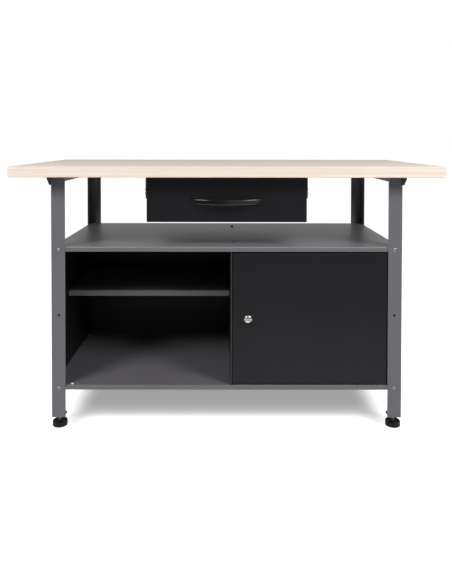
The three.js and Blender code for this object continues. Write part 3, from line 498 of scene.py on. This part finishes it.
def add_feet():
    for corner in CORNERS:
        body = f"foot_{corner}"
        low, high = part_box(f"foot_stem_{corner}")
        axis = Vector(((low.x + high.x) / 2, (low.y + high.y) / 2, 0))
        stem = threaded(STEM_RADIUS, low.z / MM, high.z / MM, STEM_PITCH)
        bmesh.ops.translate(stem, vec=axis, verts=stem.verts)
        show(stem, f"threaded_stem_{corner}", body, "zinc", f"foot_stem_{corner}")
        pad = turned(PAD_PROFILE)
        bmesh.ops.translate(pad, vec=axis, verts=pad.verts)
        show(pad, f"round_pad_{corner}", body, "black_plastic", f"foot_pad_{corner}")


# Lock: a barrel with a rounded bezel, and a plug whose keyway stands taller than the key

def add_lock():
    low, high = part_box("lock_housing")
    centre = Vector(((low.x + high.x) / 2, 0, (low.z + high.z) / 2))
    front, rear = low.y / MM, high.y / MM
    seat = front + 2.6
    profile = [(6.3, front + 0.8), (6.7, front + 0.2), (7.4, front), (8.6, front + 0.2), (9.6, front + 0.8),
               (10.4, front + 1.7), (10.7, seat), (8, seat), (8, rear - 0.4), (7.6, rear), (6.3, rear)]
    barrel = turned([(r, -y) for r, y in profile], 48, closed=True)
    bmesh.ops.transform(barrel, matrix=facing(centre, FRONT), verts=barrel.verts)
    show(barrel, "lock_barrel", "door", "chrome", "lock_housing")

    plug = welded("lock_plug")
    wall = 4 * MM
    key_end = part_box("key")[1].y + 1 * MM
    keyway_rise = 2.3 * MM
    for x in (centre.x - wall, centre.x + wall):
        bmesh.ops.bisect_plane(plug, geom=whole(plug), dist=WELD, plane_co=(x, 0, 0), plane_no=RIGHT)
    for vert in plug.verts:
        between_walls = abs(vert.co.x - centre.x) < 1.05 * wall
        keyway_top = 0 < vert.co.z - centre.z < 1.5 * MM
        if between_walls and keyway_top and vert.co.y < key_end:
            vert.co.z += keyway_rise
    join_flat_faces(plug)
    show(plug, "keyed_plug", "lock", "chrome", "lock_plug", edge=RIM["chrome"])


# Key: a flat blade in the plug, and a bow with a slot, rounded to the front

def add_key():
    low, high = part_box("key")
    middle = (low + high) / 2
    neck = Vector((middle.x, low.y + 23 * MM, low.z))
    thick, blade_thick, blade_width = 1.9 * MM, 1.52 * MM, 7.4 * MM
    bow = {"half": (high.x - low.x) / 2, "front": 17.5, "rear": 2, "ahead": 0}
    slot = {"half": 4.6 * MM, "front": 2.5, "rear": 2.5, "ahead": 3.5}
    shape = bmesh.new()
    for oval in (bow, slot):
        rim = bmesh.ops.create_circle(shape, segments=ROUND_STEPS, radius=oval["half"])["verts"]
        for vert in rim:
            vert.co.y *= (oval["front"] if vert.co.y < 0 else oval["rear"]) * MM / oval["half"]
        bmesh.ops.translate(shape, vec=neck + FRONT * oval["ahead"] * MM, verts=rim)
    bmesh.ops.bridge_loops(shape, edges=shape.edges[:])
    move_new_part(shape, bmesh.ops.extrude_face_region(shape, geom=shape.faces[:])["geom"], UP * thick)
    turn_outwards(shape)
    round_edges(shape, [e for e in shape.edges if e.calc_face_angle() > FOLD_ANGLE], 0.7, 3)
    blade = bmesh.ops.create_cube(shape, size=1)["verts"]
    bmesh.ops.scale(shape, vec=(blade_width, high.y - neck.y, blade_thick), verts=blade)
    bmesh.ops.translate(shape, vec=(middle.x, (neck.y + high.y) / 2, low.z + blade_thick / 2), verts=blade)
    show(shape, "tumbled_key", "key", "chrome", "key", finish=NICKEL)


# Fasteners

def add_leg_bolts():
    head_height = 3.6 * MM
    bolts, nuts, names = [], [], []
    for corner in CORNERS:
        out = FRONT if corner.startswith("front") else REAR
        for level in ("upper", "lower"):
            name = f"leg_bolt_{level}_{corner}"
            low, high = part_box(name)
            seat = (low + high) / 2 + out * ((high.y - low.y) / 2 - head_height)
            bolts.append(facing(seat, out))
            nuts.append(facing(seat - out * head_height, -out))
            names.append(name)
    show(repeated(m6_bolt(11.3), bolts), "leg_bolts", "frame", "zinc", *names)
    show(repeated(m6_nut(), nuts), "leg_bolt_nuts", "frame", "zinc", edge=0.4)


def add_other_fasteners():
    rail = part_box("top_rail_right")
    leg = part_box("leg_front_right")
    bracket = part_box("drawer_bracket_right")
    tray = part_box("drawer_tray")
    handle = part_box("drawer_handle")
    middle_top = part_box("middle_shelf")[1].z
    bottom_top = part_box("bottom_shelf")[1].z
    partition_x, partition_screw_y = 0.021, 0.1555
    rail_bolt_z, runner_rivet_z, bracket_rivet_z = 0.7015, 0.664, (0.675, 0.664)
    rail_screw_x, bracket_screw_x, shelf_screw_x = 0.477, 0.2395, 0.486

    rail_bolts, rail_nuts, board_screws, handle_screws, bracket_rivets, runner_rivets = [], [], [], [], [], []
    shelf_screws = [facing((partition_x, -partition_screw_y, middle_top), UP)]
    cap_place = facing((partition_x, partition_screw_y, middle_top + 0.5 * MM), UP)
    show(repeated(rivet(9, 5), [cap_place]), "screw_cap", "frame", "black_plastic")
    for side in LEFT_AND_RIGHT:
        out = RIGHT * side
        handle_foot = (side * (handle[1].x - 8 * MM), tray[0].y + 2 * MM, handle[1].z - 4 * MM)
        handle_screws.append(facing(handle_foot, REAR))
        for y in (-0.222, 0.222):
            rail_bolts.append(facing((side * rail[1].x, y, rail_bolt_z), out))
            rail_nuts.append(facing((side * (leg[1].x - 2.2 * MM), y, rail_bolt_z), -out))
        for y in (-0.15, 0.0, 0.15):
            board_screws.append(facing((side * rail_screw_x, y, rail[1].z - 2 * MM), DOWN))
        for y in (-0.18, -0.028, 0.124):
            board_screws.append(facing((side * bracket_screw_x, y, bracket[1].z - 1.2 * MM), DOWN))
        for y in (-0.208, -0.04, 0.15):
            bracket_face = side * (bracket[0].x + 1.2 * MM)
            bracket_rivets += [facing((bracket_face, y, z), out) for z in bracket_rivet_z]
        for y in (-0.18, 0.12):
            runner_rivets.append(facing((side * (tray[1].x - 1 * MM), y, runner_rivet_z), -out))
        for y in (-0.15, 0.186):
            shelf_screws.append(facing((side * shelf_screw_x, y, bottom_top), UP))
    show(repeated(m6_bolt(9), rail_bolts), "rail_bolts", "frame", "zinc")
    show(repeated(m6_nut(), rail_nuts), "rail_bolt_nuts", "frame", "zinc", edge=0.4)
    show(repeated(cross_screw(8.5, 2.6, 12, 1.8), board_screws), "board_screws", "frame", "zinc")
    show(repeated(cross_screw(8.5, 2.6, 24, 1.8), handle_screws), "handle_screws", "drawer", "zinc")
    show(repeated(rivet(7.5, 4), bracket_rivets), "bracket_rivets", "frame", "zinc")
    show(repeated(rivet(6, 1.2), runner_rivets), "runner_rivets", "drawer", "zinc")
    show(repeated(cross_screw(9, 3, 8, 2.1), shelf_screws), "shelf_screws", "frame", "zinc")


# Nylon bush in the spare pivot hole at the left end of the bottom shelf

BUSH_PROFILE = [(2.6, -5), (3.2, -5), (3.25, 0.1), (4.3, 0.1), (4.6, 0.4), (4.6, 1), (4.2, 1.4),
                (3.1, 1.4), (2.6, 1)]


def add_bush():
    low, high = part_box("hinge_pin_lower")
    pin = (low + high) / 2
    shape = turned(BUSH_PROFILE, 32, closed=True)
    place = Vector((-pin.x, pin.y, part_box("bottom_shelf")[1].z))
    bmesh.ops.translate(shape, vec=place, verts=shape.verts)
    show(shape, "pivot_bush", "frame", "white_plastic")


# Folded sheet and the other metal pieces keep their solids' shapes, with their rims rounded.

HAS_OWN_SHAPE = ("worktop", "drawer_handle", "foot_stem", "foot_pad", "lock_housing", "lock_plug",
                 "leg_bolt", "key")
BEND_IN_SOLID = 1.6
BEND_SHOWN = 3.2


def add_finished_solids():
    # The hinge pins are blackened, so that they don't gleam in the gaps round the door.
    SLOT_OF.update(hinge_pin_lower="black_paint", hinge_pin_upper="black_paint")
    for node, slot in SLOT_OF.items():
        if node.startswith(HAS_OWN_SHAPE):
            continue
        solid = welded(node)
        if node.endswith("_shelf"):
            # A painted highlight, paler paint, along the middle shelf's front fold only
            painted_highlight = 1.0 if node == "middle_shelf" else 0.0
            round_front_bend(solid, BEND_IN_SOLID, BEND_SHOWN, painted_highlight)
        elif node == "partition":
            # A painted highlight, paler paint, along the partition's front edge
            paint_front_edge_highlight(solid)
        elif node == "back_panel":
            close_gaps(solid, 0.25)
        # The tray's rim is hemmed, and stays as it is.
        edge = 0.0 if node == "drawer_tray" else RIM[slot]
        show(solid, f"{node}_finished", BODY_OF[node], slot, node, edge=edge)


add_worktop()
add_handle()
add_feet()
add_lock()
add_key()
add_leg_bolts()
add_other_fasteners()
add_bush()
add_finished_solids()


# Studio: a pale floor, a white background, a soft box at each side and above, and a weak one low in front
# and behind

AMBIENT = 0.035
FLOOR_FRONT = 1.1
FLOOR_HALF = 20
FLOOR_DROP = 0.2 * MM
SHADOW_MIDDLE_Y = -0.13
# Where the floor's white glow is cut back round the bench, a painted shadow there, which the lamps' cast
# shadow darkens further: the axis, where that starts and ends, in metres from the middle, and how much of the
# glow it takes
SHADOW_SPANS = {
    "across": ("X", 0.52, 0.43, 1.0),
    "near": ("Y", 0.5, 0.42, 0.38),
    "under": ("Y", 0.36, 0.2, 0.34),
}


def add_softbox(name, place, aim, width, height, watts, mirrored=True):
    light = bpy.data.lights.new(name, "AREA")
    light.shape = "RECTANGLE"
    light.size = width
    light.size_y = height
    light.energy = watts
    lamp = bpy.data.objects.new(name, light)
    lamp.location = place
    lamp.visible_glossy = mirrored
    lamp.rotation_euler = (Vector(aim) - Vector(place)).to_track_quat("-Z", "Y").to_euler()
    bpy.context.scene.collection.objects.link(lamp)


def seen_directly(tree, path):
    """1 for what the camera, a mirror or a clear piece shows, and 0 for what lights other surfaces."""
    mirror = {0: path["Is Camera Ray"], 1: path["Is Glossy Ray"]}
    either = add(tree, "ShaderNodeMath", mirror, operation="MAXIMUM").outputs[0]
    clear = {0: either, 1: path["Is Transmission Ray"]}
    return add(tree, "ShaderNodeMath", clear, operation="MAXIMUM").outputs[0]


def add_floor():
    """Pale card under the bench that runs out into white glow around it. The glow is cut back under the
    bench, a painted shadow, and the lamps' cast shadow of the bench shows there too.
    """
    material, tree, place = new_finish("pale_studio_floor")
    seen = seen_directly(tree, add(tree, "ShaderNodeLightPath", {}).outputs)
    middle = add(tree, "ShaderNodeMapping", {"Vector": place, "Location": (0, SHADOW_MIDDLE_Y, 0)})
    away = add(tree, "ShaderNodeVectorMath", {0: middle.outputs["Vector"]}, operation="ABSOLUTE").outputs[0]
    sides = add(tree, "ShaderNodeSeparateXYZ", {"Vector": away}).outputs
    fades = {}
    for span, (axis, outer, inner, depth) in SHADOW_SPANS.items():
        fade = {"Value": sides[axis], "From Min": outer, "From Max": inner, "To Max": depth}
        fades[span] = add(tree, "ShaderNodeMapRange", fade, interpolation_type="SMOOTHSTEP").outputs[0]
    depths = add(tree, "ShaderNodeMath", {0: fades["near"], 1: fades["under"]}, operation="ADD").outputs[0]
    # Painted shadow: how much of the glow is cut back under the bench
    painted_shadow = add(tree, "ShaderNodeMath", {0: fades["across"], 1: depths}, operation="MULTIPLY").outputs[0]
    white = add(tree, "ShaderNodeMath", {0: 1.0, 1: painted_shadow}, operation="SUBTRACT").outputs[0]
    glow = add(tree, "ShaderNodeMath", {0: seen, 1: white}, operation="MULTIPLY").outputs[0]
    pale = {0: seen, 6: linear("#d8d8d8"), 7: linear("#e9e9e9")}
    shade = add(tree, "ShaderNodeMix", pale, data_type="RGBA").outputs[2]
    card = add(tree, "ShaderNodeBsdfDiffuse", {"Color": shade})
    light = add(tree, "ShaderNodeEmission", {"Strength": glow})
    surface = add(tree, "ShaderNodeAddShader", {0: card.outputs[0], 1: light.outputs[0]})
    add(tree, "ShaderNodeOutputMaterial", {"Surface": surface.outputs[0]})
    shape = bmesh.new()
    bmesh.ops.create_grid(shape, x_segments=1, y_segments=1, size=FLOOR_HALF)
    bmesh.ops.translate(shape, vec=(0, FLOOR_HALF - FLOOR_FRONT, -FLOOR_DROP), verts=shape.verts)
    mesh = bpy.data.meshes.new("studio_floor")
    shape.to_mesh(mesh)
    shape.free()
    mesh.materials.append(material)
    floor = bpy.data.objects.new("studio_floor", mesh)
    bpy.context.scene.collection.objects.link(floor)


def add_world():
    """White behind the object, as the camera and shiny pieces see it; a dim room in front."""
    world = bpy.data.worlds.new("studio")
    world.use_nodes = True
    bpy.context.scene.world = world
    tree = world.node_tree
    tree.nodes.clear()
    path = add(tree, "ShaderNodeLightPath", {}).outputs
    seen = seen_directly(tree, path)
    towards = add(tree, "ShaderNodeTexCoord", {}).outputs["Generated"]
    axes = add(tree, "ShaderNodeSeparateXYZ", {"Vector": towards}).outputs
    side = add(tree, "ShaderNodeMapRange", {"Value": axes["X"], "From Min": -0.16, "From Max": 0.16,
                                            "To Min": 0.05, "To Max": 0.5}).outputs[0]
    behind = add(tree, "ShaderNodeMapRange", {"Value": axes["Y"], "From Min": -0.5, "From Max": 0.3,
                                              "To Min": side, "To Max": 1.0}).outputs[0]
    white = {0: behind, 1: path["Is Camera Ray"]}
    shown = add(tree, "ShaderNodeMath", white, operation="MAXIMUM").outputs[0]
    level = add(tree, "ShaderNodeMix", {0: seen, 2: AMBIENT, 3: shown}).outputs[0]
    sky = add(tree, "ShaderNodeBackground", {"Color": linear("#ffffff"), "Strength": level})
    add(tree, "ShaderNodeOutputWorld", {"Surface": sky.outputs[0]})


def add_camera():
    """The photograph's camera: level but for a degree, the frame shifted down to hold the bench."""
    data = bpy.data.cameras.new("camera")
    data.lens = 36.654
    data.sensor_width = 36
    data.sensor_fit = "AUTO"
    data.shift_x = 0.00376
    data.shift_y = -0.2392
    data.clip_end = 200
    camera = bpy.data.objects.new("camera", data)
    bpy.context.scene.collection.objects.link(camera)
    eye = (-0.00983, -1.9229, 0.81547)
    turn, dip, roll = -0.0008, 0.0193, 0.0012
    aim = Matrix.Rotation(turn, 4, "Z") @ Matrix.Rotation(math.pi / 2 - dip, 4, "X")
    camera.matrix_world = Matrix.Translation(eye) @ aim @ Matrix.Rotation(roll, 4, "Z")
    bpy.context.scene.camera = camera


add_floor()
add_world()
add_softbox("softbox_right", (1.4, -1.4, 1.75), (0.2, 0, 0.45), width=0.7, height=0.7, watts=33)
add_softbox("softbox_left", (-1.4, -1.4, 1.75), (-0.2, 0, 0.45), width=0.7, height=0.7, watts=28.5)
add_softbox("softbox_above", (0, 0, 2.6), (0, 0, 0), width=1.8, height=0.9, watts=1.5)
add_softbox("low_softbox", (0, -1.3, 0.2), (0, 0, 0.4), width=1.3, height=0.2, watts=4, mirrored=False)
add_softbox("rear_softbox", (0, 2.4, 0.45), (0, 0.25, 0.4), width=1.8, height=0.5, watts=14, mirrored=False)
add_camera()
bpy.context.scene.view_settings.view_transform = "Standard"
